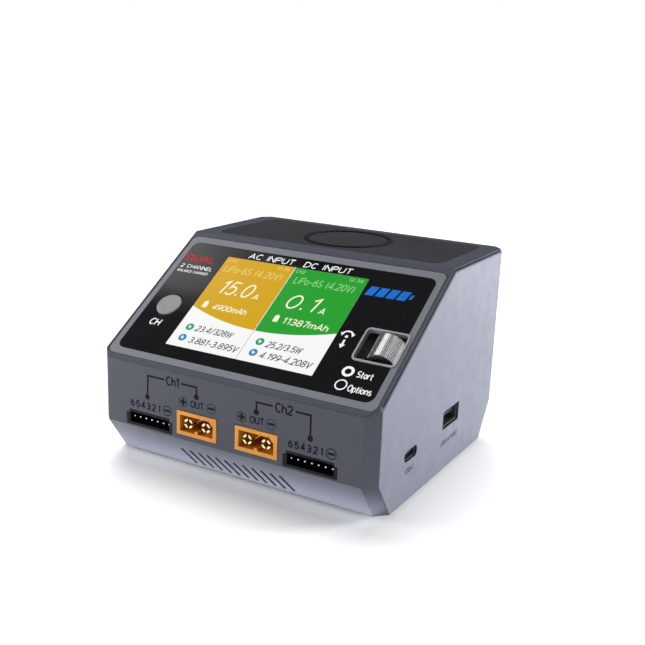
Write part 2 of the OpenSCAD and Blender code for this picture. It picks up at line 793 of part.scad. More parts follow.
module control_chip() color(black_plastic) on_slope()
    translate([chip_at[0], chip_at[1], display_n - board_t - chip_size[2]]) cube(chip_size);

module supply_board() color([0.55, 0.45, 0.25]) difference() {
    translate([supply_box[0], supply_box[1], supply_z])
        cube([supply_box[2] - supply_box[0], supply_box[3] - supply_box[1], board_t]);
    for (p = standoff_places()) translate([p[0], p[1], 0]) cylinder(r = clear_r, h = far);
}

function standoff_places() = [
    for (x = [supply_box[0] + standoff_edge, supply_box[2] - standoff_edge],
         y = [supply_box[1] + standoff_edge, standoff_y]) [x, y]
];

module supply_standoffs() color(gold * 0.9) for (p = standoff_places())
    translate([p[0], p[1], board_top]) cylinder(r = standoff_r, h = supply_z - board_top, $fn = 6);

module on_supply(place) translate([place[0], place[1], supply_top]) children();

module supply_transformer() color([0.85, 0.75, 0.3]) on_supply(transformer_at) cube(transformer_size);
module supply_capacitor() color([0.15, 0.2, 0.35]) on_supply(supply_cap_at)
    cylinder(r = supply_cap_r, h = supply_cap_h);
module supply_choke() color([0.5, 0.25, 0.15]) on_supply(choke_at) tube(choke_r, choke_hole_r, choke_h);

// ---------- fan ----------

module on_fan() translate([fan_x, fan_y0, fan_z]) rotate([-90, 0, 0]) children();

module fan_frame() color(black_plastic) on_fan() {
    difference() {
        plate(fan_size, fan_size, fan_t, fan_r);
        translate([0, 0, -eps]) cylinder(r = duct_r, h = far);
        four_ways(fan_screw_pitch / 2, fan_screw_pitch / 2, -eps) cylinder(r = pilot_r, h = far);
    }
    difference() {
        union() {
            for (a = [45, 135]) rotate(a) translate([-duct_r - 1, -spoke_w / 2, 0])
                cube([2 * duct_r + 2, spoke_w, spoke_t]);
            cylinder(r = hub_r, h = spoke_t);
            cylinder(r = bush_r, h = bush_h);
        }
        translate([0, 0, bush_floor]) cylinder(r = axle_r + fit_gap, h = far);
    }
}

module fan_rotor() color([0.12, 0.12, 0.13]) on_fan() {
    difference() {
        translate([0, 0, spoke_t + fan_end_gap])
            cylinder(r = hub_r, h = fan_t - spoke_t - fan_end_gap - hub_t);
        translate([0, 0, spoke_t]) cylinder(r = hub_r - hub_t, h = fan_t - spoke_t - 2 * hub_t);
    }
    translate([0, 0, hub_t]) cylinder(r = axle_r, h = fan_t - 2.5 * hub_t);
    intersection() {
        translate([0, 0, spoke_t + fan_end_gap + 0.3]) tube(duct_r - blade_gap, hub_r - 0.6, fan_t - 4.6);
        for (i = [0 : fan_blades - 1]) rotate(i * 360 / fan_blades)
            translate([0, 0, fan_t / 2 + 0.6]) rotate([blade_angle, 0, 0])
                translate([hub_r - 1, -fan_t, -blade_t / 2]) cube([duct_r - hub_r + 1, 2 * fan_t, blade_t]);
    }
}

// ---------- wireless charging ----------

module charging_coil() color([0.75, 0.42, 0.22]) translate([0, pad_y, coil_top - coil_t])
    tube(coil_r, coil_hole_r, coil_t);
module coil_shield() color([0.2, 0.2, 0.21]) translate([0, pad_y, coil_top - coil_t - shield_t])
    plate(shield_w, shield_w, shield_t, 2);

// ---------- feet and screws ----------

module rubber_feet() color([0.05, 0.05, 0.05]) four_ways(foot_x, foot_y, 0) {
    cylinder(r1 = foot_r - 0.4, r2 = foot_r, h = 0.5);
    translate([0, 0, 0.5]) cylinder(r = foot_r, h = foot_h + foot_seat - 0.5 - 2 * eps);
}

// A cross-head screw with a flat head: head at z = 0 facing up, shank going down
module screw(length, r, h) difference() {
    union() {
        translate([0, 0, -h]) cylinder(r = r, h = h);
        translate([0, 0, -length]) cylinder(r = screw_r, h = length - h + eps);
    }
    for (a = [0, 90]) rotate(a) translate([0, 0, -0.3]) cube([0.55, 2.2, 1.2], center = true);
}

module base_screws() color(steel) four_ways(base_post_x, base_post_y, base_z + head_sunk)
    mirror([0, 0, 1]) screw(8, head_r, head_h + 0.1);

module rear_screws() color(steel) for (x = [-1, 1], z = rear_post_z)
    translate([x * rear_post_x, rear_y - head_sunk, z]) rotate([-90, 0, 0]) screw(8, head_r, head_h);

module fan_screws() color(steel) translate([fan_x, rear_y - head_sunk, fan_z]) rotate([-90, 0, 0])
    four_ways(fan_screw_pitch / 2, fan_screw_pitch / 2, 0) screw(fan_screw_l, head_r, head_h);

module board_screws() color(steel) four_ways(base_post_x, base_post_y, board_top + board_head_h)
    screw(4, board_head_r, board_head_h);

module display_screws() color(steel) on_slope()
    for (side = [-1, 1], s = [display_post[1], display_post[2]])
        translate([side * display_post[0], s, display_n - board_t - board_head_h])
            mirror([0, 0, 1]) screw(display_screw_l, board_head_r, board_head_h);

main_shell();
bottom_cover();
rear_panel();
display_bezel();
front_glass();
wheel_surround();
charging_pad();
pad_ring();
lcd_panel();
lcd_frame();
display_board();
buzzer();
channel_button();
channel_switch();
channel_switch_stem();
scroll_wheel();
wheel_axle();
wheel_carrier();
wheel_encoder();
wheel_switch();
wheel_switch_stem();
channel_1_balance_socket();
channel_2_balance_socket();
balance_pins();
channel_1_output_socket();
channel_2_output_socket();
output_contacts();
dc_input_socket();
dc_input_contacts();
mains_inlet();
mains_inlet_pins();
usb_a_shell();
usb_a_tongue();
usb_c_shell();
usb_c_tongue();
main_board();
heat_sink();
power_transistors();
power_inductors();
output_capacitors();
control_chip();
supply_board();
supply_transformer();
supply_capacitor();
supply_choke();
supply_standoffs();
fan_frame();
fan_rotor();
charging_coil();
coil_shield();
rubber_feet();
base_screws();
rear_screws();
fan_screws();
board_screws();
display_screws();
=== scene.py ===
"""Balance charger with a sloping display, a scroll wheel and a wireless charging top."""

import json
import math

import bmesh
import bpy
from mathutils import Matrix, Vector


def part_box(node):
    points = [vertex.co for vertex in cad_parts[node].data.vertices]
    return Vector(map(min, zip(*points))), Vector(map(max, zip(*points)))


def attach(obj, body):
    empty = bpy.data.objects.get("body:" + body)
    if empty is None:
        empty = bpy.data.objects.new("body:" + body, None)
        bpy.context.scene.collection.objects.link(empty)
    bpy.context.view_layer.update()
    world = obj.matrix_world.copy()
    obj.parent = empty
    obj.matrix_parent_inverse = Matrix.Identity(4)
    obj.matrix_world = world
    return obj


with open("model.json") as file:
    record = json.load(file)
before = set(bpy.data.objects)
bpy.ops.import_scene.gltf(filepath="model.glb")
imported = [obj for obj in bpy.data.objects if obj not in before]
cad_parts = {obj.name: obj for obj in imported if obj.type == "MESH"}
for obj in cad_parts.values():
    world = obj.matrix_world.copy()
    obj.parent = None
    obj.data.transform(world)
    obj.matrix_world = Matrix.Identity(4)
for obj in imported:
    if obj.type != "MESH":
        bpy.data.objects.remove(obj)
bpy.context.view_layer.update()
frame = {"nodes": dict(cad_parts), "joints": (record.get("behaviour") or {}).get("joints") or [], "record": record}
MM = 0.001
NODES = frame["nodes"]
JOINTS = {j["name"]: j for j in frame["joints"]}

# ---------------------------------------------------------------- planes of the case


def plane(origin, right, up):
    """A matrix whose x runs right, y up and z out of the surface, in millimetres."""
    right, up = Vector(right).normalized(), Vector(up).normalized()
    out = right.cross(up)
    m = Matrix((right, up, out)).transposed().to_4x4()
    return Matrix.Translation(origin) @ m @ Matrix.Scale(MM, 4)


shell_lo, shell_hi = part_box("main_shell")
up_slope = Vector(JOINTS["wheel_turn"]["axis"])
wheel_centre = Vector(JOINTS["wheel_turn"]["pos_m"])
out_slope = Vector((1, 0, 0)).cross(up_slope)
# the wheel's centre on the slope: right of the middle, up the slope and out of it, in millimetres
WHEEL_X, WHEEL_S, WHEEL_N = 44.6, 27.1, -3.0
slope_origin = wheel_centre - Vector((WHEEL_X * MM, 0, 0)) - up_slope * WHEEL_S * MM
slope_origin -= out_slope * WHEEL_N * MM
SLOPE = plane(slope_origin, (1, 0, 0), up_slope)
FRONT = plane((0, shell_lo.y, 0), (1, 0, 0), (0, 0, 1))
SIDE = plane((shell_hi.x, 0, 0), (0, 1, 0), (0, 0, 1))
REAR = plane((0, shell_hi.y, 0), (-1, 0, 0), (0, 0, 1))

# ---------------------------------------------------------------- mesh helpers


def finish_mesh(name, bm, materials, where, body="case"):
    """Turns a bmesh into a riding piece. where takes it from millimetres on a plane into the frame."""
    bmesh.ops.recalc_face_normals(bm, faces=bm.faces)
    me = bpy.data.meshes.new(name)
    bm.to_mesh(me)
    bm.free()
    me.transform(where)
    for m in materials:
        me.materials.append(m)
    ob = bpy.data.objects.new(name, me)
    bpy.context.scene.collection.objects.link(ob)
    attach(ob, body)


def prism(bm, outline, low, high, holes=(), index=0):
    """A flat-sided solid from a 2D outline, between two heights."""
    def ring(points):
        vs = [bm.verts.new((x, y, low)) for x, y in points]
        return vs, [bm.edges.new((vs[i], vs[(i + 1) % len(vs)])) for i in range(len(vs))]

    verts, edges = ring(outline)
    for h in holes:
        edges += ring(h)[1]
    if holes:
        made = bmesh.ops.triangle_fill(bm, edges=edges, use_beauty=True, use_dissolve=False)
        faces = [g for g in made["geom"] if isinstance(g, bmesh.types.BMFace)]
    else:
        faces = [bm.faces.new(verts)]
    for f in faces:
        f.material_index = index
    up = bmesh.ops.extrude_face_region(bm, geom=faces)
    tops = [g for g in up["geom"] if isinstance(g, bmesh.types.BMVert)]
    bmesh.ops.translate(bm, verts=tops, vec=(0, 0, high - low))
    for g in up["geom"]:
        if isinstance(g, bmesh.types.BMFace):
            g.material_index = index
    for v in tops:
        for f in v.link_faces:
            f.material_index = index


def on_ellipse(cx, cy, rx, ry, degrees):
    a = math.radians(degrees)
    return cx + rx * math.cos(a), cy + ry * math.sin(a)


def circle(x, y, r, n=40, start=0.0, turn=360.0):
    """Points round a circle, or along a part of it with both its ends."""
    count = n if turn == 360.0 else n + 1
    return [on_ellipse(x, y, r, r, start + turn * i / n) for i in range(count)]


def round_rect(x0, y0, x1, y1, r, n=6):
    centres = ((x1 - r, y1 - r), (x0 + r, y1 - r), (x0 + r, y0 + r), (x1 - r, y0 + r))
    pts = []
    for quarter, (cx, cy) in enumerate(centres):
        pts += circle(cx, cy, r, n, 90 * quarter, 90.0)
    return pts


SAME_POINT, MITRE_LIMIT = 1e-4, 0.3


def ribbon(points, width):
    """The outline of a band of even width along a line, with mitred corners."""
    left, right = [], []
    last = len(points) - 1
    closed = last > 3 and math.dist(points[0], points[-1]) < SAME_POINT
    for i, (x, y) in enumerate(points):
        a = points[last - 1 if closed and i == 0 else max(i - 1, 0)]
        b = points[1 if closed and i == last else min(i + 1, last)]
        d1 = Vector((x - a[0], y - a[1]))
        d2 = Vector((b[0] - x, b[1] - y))
        d1 = d1.normalized() if d1.length else d2.normalized()
        d2 = d2.normalized() if d2.length else d1
        t = (d1 + d2).normalized()
        n = Vector((-t.y, t.x))
        k = width / 2 / max(MITRE_LIMIT, n.dot(Vector((-d1.y, d1.x))))
        left.append((x + n.x * k, y + n.y * k))
        right.append((x - n.x * k, y - n.y * k))
    return left + right[::-1]


def arc(cx, cy, rx, ry, a0, a1, n=14):
    """Points along an ellipse from one angle to another, in degrees."""
    steps = max(3, int(n * abs(a1 - a0) / 360) + 1)
    return [on_ellipse(cx, cy, rx, ry, a0 + (a1 - a0) * i / steps) for i in range(steps + 1)]


# Plain single-line letters: width, then strokes, on a capital height of 1
GLYPHS = {
    "0": (0.58, [arc(0.29, 0.5, 0.29, 0.5, 90, 450, 22)]),
    "1": (0.36, [[(0.04, 0.8), (0.28, 1.0), (0.28, 0.0)]]),
    "2": (0.56, [arc(0.28, 0.72, 0.27, 0.28, 165, -35) + [(0.0, 0.0), (0.57, 0.0)]]),
    "3": (0.56, [arc(0.26, 0.75, 0.25, 0.25, 150, -90) + arc(0.26, 0.26, 0.29, 0.26, 80, -150)]),
    "4": (0.6, [[(0.44, 0.0), (0.44, 1.0), (0.0, 0.27), (0.62, 0.27)]]),
    "5": (0.56, [[(0.52, 1.0), (0.1, 1.0), (0.06, 0.52)] + arc(0.27, 0.32, 0.29, 0.32, 120, -145)]),
    "6": (0.58, [arc(0.29, 0.31, 0.28, 0.31, 0, 360, 20),
                 [(0.01, 0.34), (0.04, 0.6), (0.18, 0.86), (0.44, 1.0)]]),
    "7": (0.54, [[(0.0, 1.0), (0.55, 1.0), (0.2, 0.0)]]),
    "8": (0.58, [arc(0.29, 0.75, 0.24, 0.25, 0, 360, 18), arc(0.29, 0.26, 0.29, 0.26, 0, 360, 20)]),
    "9": (0.58, [arc(0.29, 0.69, 0.28, 0.31, 0, 360, 20),
                 [(0.57, 0.66), (0.54, 0.4), (0.4, 0.14), (0.14, 0.0)]]),
    ".": (0.14, [[(0.07, 0.0), (0.07, 0.13)]]),
    ":": (0.14, [[(0.07, 0.1), (0.07, 0.23)], [(0.07, 0.52), (0.07, 0.65)]]),
    "-": (0.36, [[(0.0, 0.42), (0.36, 0.42)]]),
    "/": (0.4, [[(0.0, -0.08), (0.4, 1.06)]]),
    "(": (0.22, [arc(0.32, 0.45, 0.3, 0.62, 125, 235)]),
    ")": (0.22, [arc(-0.1, 0.45, 0.3, 0.62, 55, -55)]),
    "A": (0.68, [[(0.0, 0.0), (0.34, 1.0), (0.68, 0.0)], [(0.11, 0.32), (0.57, 0.32)]]),
    "B": (0.58, [[(0.0, 0.0), (0.0, 1.0)],
                 [(0.0, 1.0)] + arc(0.28, 0.76, 0.24, 0.24, 90, -90) + [(0.0, 0.52)],
                 [(0.2, 0.52)] + arc(0.3, 0.26, 0.28, 0.26, 90, -90) + [(0.0, 0.0)]]),
    "C": (0.62, [arc(0.33, 0.5, 0.33, 0.5, 48, 312, 22)]),
    "D": (0.64, [[(0.0, 0.0), (0.0, 1.0), (0.24, 1.0)] + arc(0.24, 0.5, 0.4, 0.5, 85, -85)
                 + [(0.24, 0.0), (0.0, 0.0)]]),
    "E": (0.52, [[(0.52, 1.0), (0.0, 1.0), (0.0, 0.0), (0.53, 0.0)], [(0.0, 0.52), (0.44, 0.52)]]),
    "G": (0.66, [arc(0.34, 0.5, 0.34, 0.5, 48, 350, 22) + [(0.67, 0.46), (0.4, 0.46)]]),
    "H": (0.6, [[(0.0, 0.0), (0.0, 1.0)], [(0.6, 0.0), (0.6, 1.0)], [(0.0, 0.52), (0.6, 0.52)]]),
    "I": (0.04, [[(0.02, 0.0), (0.02, 1.0)]]),
    "L": (0.48, [[(0.0, 1.0), (0.0, 0.0), (0.48, 0.0)]]),
    "N": (0.62, [[(0.0, 0.0), (0.0, 1.0), (0.62, 0.0), (0.62, 1.0)]]),
    "O": (0.68, [arc(0.34, 0.5, 0.34, 0.5, 90, 450, 24)]),
    "P": (0.56, [[(0.0, 0.0), (0.0, 1.0), (0.28, 1.0)] + arc(0.28, 0.74, 0.27, 0.26, 85, -90)
                 + [(0.0, 0.48)]]),
    "R": (0.58, [[(0.0, 0.0), (0.0, 1.0), (0.28, 1.0)] + arc(0.28, 0.75, 0.27, 0.25, 85, -90) + [(0.0, 0.5)],
                 [(0.28, 0.5), (0.58, 0.0)]]),
    "S": (0.56, [arc(0.28, 0.745, 0.26, 0.255, 35, 265) + arc(0.28, 0.25, 0.28, 0.25, 85, -150)]),
    "T": (0.58, [[(0.0, 1.0), (0.58, 1.0)], [(0.29, 1.0), (0.29, 0.0)]]),
    "U": (0.6, [[(0.0, 1.0)] + arc(0.3, 0.3, 0.3, 0.3, 180, 360) + [(0.6, 1.0)]]),
    "V": (0.64, [[(0.0, 1.0), (0.32, 0.0), (0.64, 1.0)]]),
    "W": (0.9, [[(0.0, 1.0), (0.22, 0.0), (0.45, 0.9), (0.68, 0.0), (0.9, 1.0)]]),
    "a": (0.5, [arc(0.24, 0.34, 0.24, 0.34, 20, 340, 18), [(0.49, 0.68), (0.49, 0.0)]]),
    "h": (0.48, [[(0.0, 0.0), (0.0, 1.0)],
                 [(0.0, 0.42)] + arc(0.24, 0.44, 0.24, 0.24, 160, 0) + [(0.48, 0.0)]]),
    "i": (0.06, [[(0.03, 0.0), (0.03, 0.68)], [(0.03, 0.86), (0.03, 0.99)]]),
    "m": (0.8, [[(0.0, 0.0), (0.0, 0.68)],
                [(0.0, 0.44)] + arc(0.2, 0.47, 0.2, 0.21, 160, 0) + [(0.4, 0.0)],
                [(0.4, 0.44)] + arc(0.6, 0.47, 0.2, 0.21, 160, 0) + [(0.8, 0.0)]]),
    "n": (0.48, [[(0.0, 0.0), (0.0, 0.68)],
                 [(0.0, 0.42)] + arc(0.24, 0.44, 0.24, 0.24, 160, 0) + [(0.48, 0.0)]]),
    "o": (0.52, [arc(0.26, 0.34, 0.26, 0.34, 90, 450, 20)]),
    "p": (0.5, [[(0.0, 0.68), (0.0, -0.26)], arc(0.26, 0.34, 0.24, 0.34, 160, -160, 18)]),
    "r": (0.32, [[(0.0, 0.0), (0.0, 0.68)], [(0.0, 0.4)] + arc(0.28, 0.42, 0.26, 0.25, 165, 80)]),
    "s": (0.44, [arc(0.22, 0.51, 0.2, 0.17, 35, 265) + arc(0.22, 0.17, 0.22, 0.17, 85, -150)]),
    "t": (0.34, [[(0.12, 0.95), (0.12, 0.14), (0.18, 0.02), (0.34, 0.0)], [(0.0, 0.66), (0.34, 0.66)]]),
    " ": (0.34, []),
}


# crossing strokes end at slightly different heights, so that no two faces coincide
STROKE_STEP, STROKE_LEVELS = 0.003, 3
LETTER_GAP = 0.2


def lettering(bm, words, box, low, high, shear=0.0, weight=0.15, index=0):
    """Sets words in plain strokes that fill box = (x0, base, x1, top), top being the capitals' height."""
    x0, y0, x1, y1 = box
    pen, lines = 0.0, []
    for c in words:
        width, strokes_of = GLYPHS[c]
        lines += [[(pen + x, y) for x, y in s] for s in strokes_of]
        pen += width + LETTER_GAP
    height = y1 - y0
    thick = weight * height
    sx = (x1 - x0 - shear * height - thick) / (pen - LETTER_GAP)
    for k, stroke in enumerate(lines):
        pts = []
        for x, y in stroke:
            rise = thick / 2 + y * (height - thick)
            pts.append((x0 + thick / 2 + x * sx + shear * rise, y0 + rise))
        prism(bm, ribbon(pts, thick), low, high + STROKE_STEP * (k % STROKE_LEVELS), index=index)


# ---------------------------------------------------------------- materials


# how many octaves of noise the slow drifts, the fine bump and the spots of the painted edge highlight have
DRIFT_DETAIL, GRAIN_DETAIL, HIGHLIGHT_DETAIL = 3.0, 2.0, 4.0
BEVEL_SAMPLES = 4
# spots along a painted edge highlight: how many to the metre, and the band of noise they show in
HIGHLIGHT_SCALE, HIGHLIGHT_BAND = 420.0, (0.4, 0.62)
# the cosine between the rounded and the flat normal at which the painted edge highlight is full, and at which it
# is gone
HIGHLIGHT_EDGE = (0.93, 0.995)
# width of the painted highlight line along edges in metres, on the case and on small mouldings
CASE_HIGHLIGHT, FINE_HIGHLIGHT = 0.0004, 0.0003


class Look:
    """A material with a Principled shader and short ways to add nodes to it."""

    def __init__(self, name, colour, roughness, **sockets):
        self.m = bpy.data.materials.new(name)
        self.m.use_nodes = True
        self.n = self.m.node_tree.nodes
        self.l = self.m.node_tree.links
        self.b = self.n["Principled BSDF"]
        self.colour = colour
        self.b.inputs["Base Color"].default_value = (*colour, 1)
        self.b.inputs["Roughness"].default_value = roughness
        self.rough = roughness
        for k, v in sockets.items():
            self.b.inputs[k.replace("_", " ")].default_value = v
        self.co = self.n.new("ShaderNodeTexCoord").outputs["Object"]

    def add(self, kind, **values):
        node = self.n.new(kind)
        for k, v in values.items():
            if k in node.inputs:
                node.inputs[k].default_value = v
            else:
                setattr(node, k, v)
        return node

    def noise(self, scale, detail, stretch=None):
        node = self.add("ShaderNodeTexNoise", Scale=scale, Detail=detail)
        if stretch:
            mapping = self.add("ShaderNodeMapping")
            mapping.inputs["Scale"].default_value = stretch
            self.l.new(self.co, mapping.inputs["Vector"])
            self.l.new(mapping.outputs["Vector"], node.inputs["Vector"])
        else:
            self.l.new(self.co, node.inputs["Vector"])
        return node.outputs["Fac"]

    def ramp(self, value, a, b, lo=0.3, hi=0.7):
        node = self.add("ShaderNodeMapRange")
        for k, v in (("From Min", lo), ("From Max", hi), ("To Min", a), ("To Max", b)):
            node.inputs[k].default_value = v
        self.l.new(value, node.inputs["Value"])
        return node.outputs["Result"]

    def tint(self, mask, other, amount=1.0):
        """Blends the base colour towards another where mask is 1."""
        mix = self.add("ShaderNodeMix", data_type="RGBA")
        src = self.b.inputs["Base Color"]
        if src.is_linked:
            self.l.new(src.links[0].from_socket, mix.inputs[6])
        else:
            mix.inputs[6].default_value = src.default_value
        mix.inputs[7].default_value = (*other, 1)
        if amount != 1.0:
            mask = self.ramp(mask, 0.0, amount, 0.0, 1.0)
        self.l.new(mask, mix.inputs[0])
        self.l.new(mix.outputs[2], src)
        return self

    def vary(self, scale, amount):
        """Slow light and dark drift of the base colour."""
        dark = tuple(c * (1 - amount) for c in self.colour)
        light = tuple(c * (1 + amount) for c in self.colour)
        self.b.inputs["Base Color"].default_value = (*dark, 1)
        return self.tint(self.ramp(self.noise(scale, DRIFT_DETAIL), 0.0, 1.0), light)

    def roughen(self, scale, amount, stretch=None):
        """Slow drift of the roughness."""
        value = self.noise(scale, DRIFT_DETAIL, stretch)
        out = self.ramp(value, self.rough - amount, self.rough + amount)
        self.l.new(out, self.b.inputs["Roughness"])
        return self

    def grain(self, scale, height, stretch=None):
        """A fine bump over the whole surface, on top of any rounded edges."""
        node = self.add("ShaderNodeBump", Strength=1.0, Distance=height)
        self.l.new(self.noise(scale, GRAIN_DETAIL, stretch), node.inputs["Height"])
        src = self.b.inputs["Normal"]
        if src.is_linked:
            self.l.new(src.links[0].from_socket, node.inputs["Normal"])
        self.l.new(node.outputs["Normal"], src)
        return self

    def rounded(self, radius):
        """Shades edges as if they were rounded to this radius."""
        node = self.add("ShaderNodeBevel", samples=BEVEL_SAMPLES)
        node.inputs["Radius"].default_value = radius
        self.l.new(node.outputs["Normal"], self.b.inputs["Normal"])
        return self

    def below(self, planes, depth):
        """1 where the surface lies deeper than depth under every plane (point, outward normal)."""
        result = None
        for point, normal in planes:
            dot = self.add("ShaderNodeVectorMath", operation="DOT_PRODUCT")
            self.l.new(self.co, dot.inputs[0])
            dot.inputs[1].default_value = normal
            deep = self.add("ShaderNodeMath", operation="LESS_THAN")
            self.l.new(dot.outputs["Value"], deep.inputs[0])
            deep.inputs[1].default_value = Vector(point).dot(Vector(normal)) - depth
            if result:
                both = self.add("ShaderNodeMath", operation="MULTIPLY")
                self.l.new(result, both.inputs[0])
                self.l.new(deep.outputs[0], both.inputs[1])
                deep = both
            result = deep.outputs[0]
        return result

    def painted_edge_highlight(self, colour, amount, radius=CASE_HIGHLIGHT):
        """A painted highlight: a thin paler line along the edges, broken up by noise."""
        bevel = self.add("ShaderNodeBevel", samples=BEVEL_SAMPLES)
        bevel.inputs["Radius"].default_value = radius
        geo = self.add("ShaderNodeNewGeometry")
        dot = self.add("ShaderNodeVectorMath", operation="DOT_PRODUCT")
        self.l.new(bevel.outputs["Normal"], dot.inputs[0])
        self.l.new(geo.outputs["Normal"], dot.inputs[1])
        edge = self.ramp(dot.outputs["Value"], 1.0, 0.0, *HIGHLIGHT_EDGE)
        spots = self.ramp(self.noise(HIGHLIGHT_SCALE, HIGHLIGHT_DETAIL), 0.2, 1.0, *HIGHLIGHT_BAND)
        mul = self.add("ShaderNodeMath", operation="MULTIPLY")
        self.l.new(edge, mul.inputs[0])
        self.l.new(spots, mul.inputs[1])
        return self.tint(mul.outputs[0], colour, amount)


def dress(node, look):
    ob = NODES[node]
    ob.data.materials.clear()
    ob.data.materials.append(look.m)


# merged points lie this close in metres; faces this flat and edges this sharp are told apart in degrees
SAME_VERTEX, FLAT_ANGLE, SHARP_ANGLE = 2e-6, 0.6, 32.0


def soften(node, width):
    """Rounds a CAD node's edges with modifiers, so its own mesh stays as it is."""
    ob = NODES[node]
    weld = ob.modifiers.new("weld", "WELD")
    weld.merge_threshold = SAME_VERTEX
    flat = ob.modifiers.new("flat", "DECIMATE")
    flat.decimate_type = "DISSOLVE"
    flat.angle_limit = math.radians(FLAT_ANGLE)
    bev = ob.modifiers.new("edge", "BEVEL")
    bev.width = width * MM
    bev.segments = 2
    bev.limit_method = "ANGLE"
    bev.angle_limit = math.radians(SHARP_ANGLE)
    bev.use_clamp_overlap = True
    bev.harden_normals = False
    wn = ob.modifiers.new("normals", "WEIGHTED_NORMAL")
    wn.mode = "FACE_AREA"
    wn.weight = 60
    wn.keep_sharp = False


# cut edges of the case: how far the toe leans in over its height, where it starts, and the corners' cut
TOE_IN, TOE_H, TOE_Z, CORNER = 9 * MM, 13 * MM, 14.2 * MM, 4.5 * MM
# how deep behind the front and the side the openings still show
FRONT_REACH, SIDE_REACH = 14 * MM, 6 * MM
toe_plane = ((0, shell_lo.y, TOE_Z), Vector((0, -TOE_H, -TOE_IN)).normalized())
slope_plane = (slope_origin, out_slope)
bottom_plane = ((0, 0, shell_lo.z), (0, 0, -1))
top_plane = ((0, 0, shell_hi.z), (0, 0, 1))
FRONT_OPENINGS = [
    ((0, shell_lo.y, 0), (0, -1, 0)), toe_plane, slope_plane, bottom_plane,
    ((0, shell_lo.y + FRONT_REACH, 0), (0, 1, 0)),
    ((shell_lo.x + CORNER, 0, 0), (-1, 0, 0)), ((shell_hi.x - CORNER, 0, 0), (1, 0, 0)),
]
SIDE_OPENINGS = [
    ((shell_hi.x, 0, 0), (1, 0, 0)), slope_plane, top_plane, ((0, 0, TOE_Z), (0, 0, -1)),
    ((shell_hi.x - SIDE_REACH, 0, 0), (-1, 0, 0)),
    ((0, shell_lo.y + CORNER, 0), (0, -1, 0)), ((0, shell_hi.y - CORNER, 0), (0, 1, 0)),
]
# painted shade: the inside walls of openings, and of the wheel's pocket, are darker than the outside, from this
# depth on
SHADE_DEPTH, SURROUND_SHADE_DEPTH = 0.3 * MM, 1.6 * MM
OPENING_SHADE, SURROUND_SHADE = (0.006, 0.006, 0.007), (0.02, 0.02, 0.023)
CASE_COLOUR, CASE_ROUGHNESS, CASE_SHINE = (0.068, 0.073, 0.094), 0.42, 0.25
# shading radius of the case's long edges, in metres
CASE_ROUND = 0.0007

case_look = Look("case_plastic", CASE_COLOUR, CASE_ROUGHNESS, Specular_IOR_Level=CASE_SHINE)
case_look.vary(28, 0.03).roughen(180, 0.05).rounded(CASE_ROUND)
# the paler line along the case's edges is a painted highlight
case_look.grain(2600, 0.000006).painted_edge_highlight((0.15, 0.155, 0.18), 0.35)
# painted shade on the inside walls of the front and side openings
for planes in (FRONT_OPENINGS, SIDE_OPENINGS):
    case_look.tint(case_look.below(planes, SHADE_DEPTH), OPENING_SHADE)
rear_look = Look("rear_plastic", CASE_COLOUR, CASE_ROUGHNESS, Specular_IOR_Level=CASE_SHINE)
rear_look.vary(28, 0.03).roughen(180, 0.05).grain(2600, 0.000006)
# painted shade on the inside walls of the rear openings
rear_look.tint(rear_look.below([((0, shell_hi.y, 0), (0, 1, 0))], SHADE_DEPTH), OPENING_SHADE)
bezel_look = Look("bezel_plastic", (0.178, 0.185, 0.208), 0.38)
# the paler line along the bezel's edges is a painted highlight
bezel_look.vary(30, 0.04).roughen(180, 0.05).grain(2600, 0.00001).painted_edge_highlight((0.26, 0.265, 0.28), 0.4)
cover_look = Look("cover_plastic", (0.12, 0.123, 0.14), 0.52)
cover_look.vary(30, 0.07).roughen(160, 0.06).grain(2200, 0.00005)
glass_look = Look("front_glass", (0.005, 0.005, 0.006), 0.1)
glass_look.vary(20, 0.3).roughen(90, 0.04).grain(300, 0.000004)
surround_look = Look("surround_plastic", (0.34, 0.345, 0.37), 0.3)
surround_look.vary(120, 0.05).roughen(300, 0.05).grain(3000, 0.00002)
# painted shade down in the wheel's pocket, below the slope
surround_look.tint(surround_look.below([slope_plane], SURROUND_SHADE_DEPTH), SURROUND_SHADE)
pad_look = Look("pad_plastic", (0.035, 0.035, 0.04), 0.62)
pad_look.vary(40, 0.12).roughen(200, 0.06).grain(1600, 0.00006)
rubber_look = Look("rubber", (0.015, 0.015, 0.016), 0.75)
rubber_look.vary(90, 0.2).roughen(250, 0.08).grain(1500, 0.00008)
panel_look = Look("screen_panel", (0.7, 0.71, 0.72), 0.2, Coat_Weight=0.6, Coat_Roughness=0.05)
panel_look.vary(60, 0.02)
steel_look = Look("steel", (0.56, 0.57, 0.6), 0.26, Metallic=1.0)
steel_look.vary(300, 0.12).roughen(700, 0.08).grain(1800, 0.00002)
wheel_look = Look("wheel_metal", (0.72, 0.72, 0.73), 0.3, Metallic=1.0)
wheel_look.vary(400, 0.06).roughen(900, 0.05)
